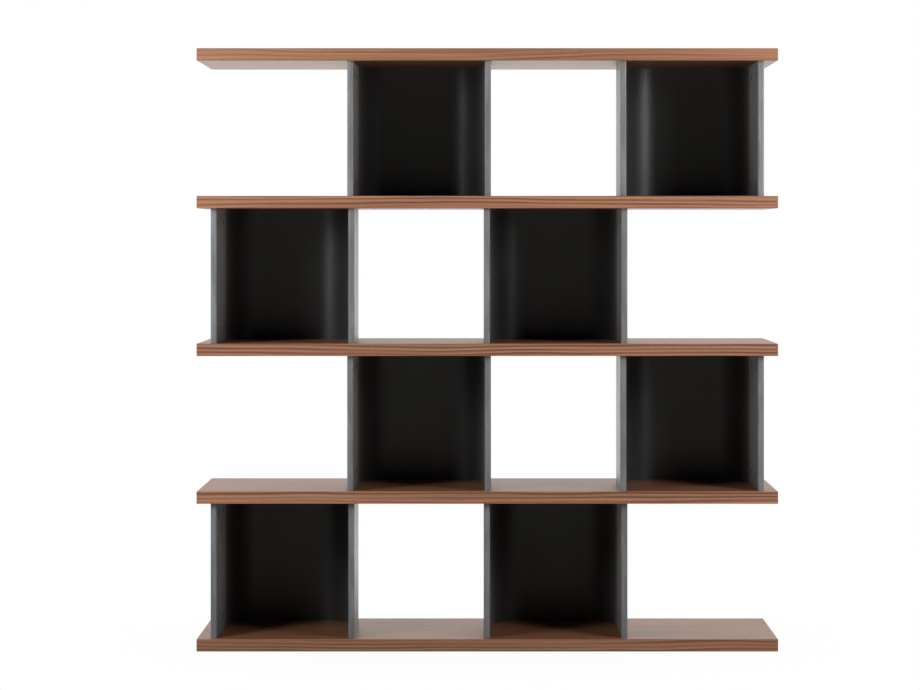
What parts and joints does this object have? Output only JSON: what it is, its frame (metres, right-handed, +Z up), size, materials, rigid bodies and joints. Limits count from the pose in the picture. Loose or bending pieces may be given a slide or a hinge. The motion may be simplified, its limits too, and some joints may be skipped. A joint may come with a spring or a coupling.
{
  "type": "cube storage unit",
  "caption": "Open bookcase of long walnut boards held apart by curved U-shaped shells set chequerboard, open bays between them.",
  "frame": {"origin": "on the floor, under the middle of the bookcase", "axes": "+Z up, -Y towards the open front of the shells, +X to the right seen from the front"},
  "size_m": [1.5, 0.34, 1.559],
  "materials": {
    "walnut_veneer": "satin",
    "walnut_edge": "satin",
    "particle_board": "matte",
    "honeycomb_paper": "matte",
    "moulded_plywood": "matte",
    "black_lining": "satin",
    "grey_outer_skin": "satin",
    "grey_front_band": "satin",
    "zinc_steel": "satin",
    "zinc_casting": "satin",
    "black_cap": "satin",
    "beech": "matte",
    "nylon": "matte"
  },
  "bodies": {
    "root": {"bottom_board_underside_skin": "walnut_veneer", "bottom_board_frame": "particle_board", "bottom_board_honeycomb": "honeycomb_paper", "bottom_board_top_skin": "walnut_veneer", "bottom_board_edge_strips": "walnut_edge", "lower_board_underside_skin": "walnut_veneer", "lower_board_frame": "particle_board", "lower_board_honeycomb": "honeycomb_paper", "lower_board_top_skin": "walnut_veneer", "lower_board_edge_strips": "walnut_edge", "middle_board_underside_skin": "walnut_veneer", "middle_board_frame": "particle_board", "middle_board_honeycomb": "honeycomb_paper", "middle_board_top_skin": "walnut_veneer", "middle_board_edge_strips": "walnut_edge", "upper_board_underside_skin": "walnut_veneer", "upper_board_frame": "particle_board", "upper_board_honeycomb": "honeycomb_paper", "upper_board_top_skin": "walnut_veneer", "upper_board_edge_strips": "walnut_edge", "top_board_underside_skin": "walnut_veneer", "top_board_frame": "particle_board", "top_board_honeycomb": "honeycomb_paper", "top_board_top_skin": "walnut_veneer", "top_board_edge_strips": "walnut_edge", "shell_row1_col1_plywood": "moulded_plywood", "shell_row1_col1_lining": "black_lining", "shell_row1_col1_outer_skin": "grey_outer_skin", "shell_row1_col3_plywood": "moulded_plywood", "shell_row1_col3_lining": "black_lining", "shell_row1_col3_outer_skin": "grey_outer_skin", "shell_row2_col2_plywood": "moulded_plywood", "shell_row2_col2_lining": "black_lining", "shell_row2_col2_outer_skin": "grey_outer_skin", "shell_row2_col4_plywood": "moulded_plywood", "shell_row2_col4_lining": "black_lining", "shell_row2_col4_outer_skin": "grey_outer_skin", "shell_row3_col1_plywood": "moulded_plywood", "shell_row3_col1_lining": "black_lining", "shell_row3_col1_outer_skin": "grey_outer_skin", "shell_row3_col3_plywood": "moulded_plywood", "shell_row3_col3_lining": "black_lining", "shell_row3_col3_outer_skin": "grey_outer_skin", "shell_row4_col2_plywood": "moulded_plywood", "shell_row4_col2_lining": "black_lining", "shell_row4_col2_outer_skin": "grey_outer_skin", "shell_row4_col4_plywood": "moulded_plywood", "shell_row4_col4_lining": "black_lining", "shell_row4_col4_outer_skin": "grey_outer_skin", "front_bands_row1": "grey_front_band", "front_bands_row2": "grey_front_band", "front_bands_row3": "grey_front_band", "front_bands_row4": "grey_front_band", "short_bolts": "zinc_steel", "long_bolts": "zinc_steel", "cam_locks": "zinc_casting", "cover_caps": "black_cap", "dowels": "beech", "floor_glides": "nylon"}
  },
  "joints": []
}
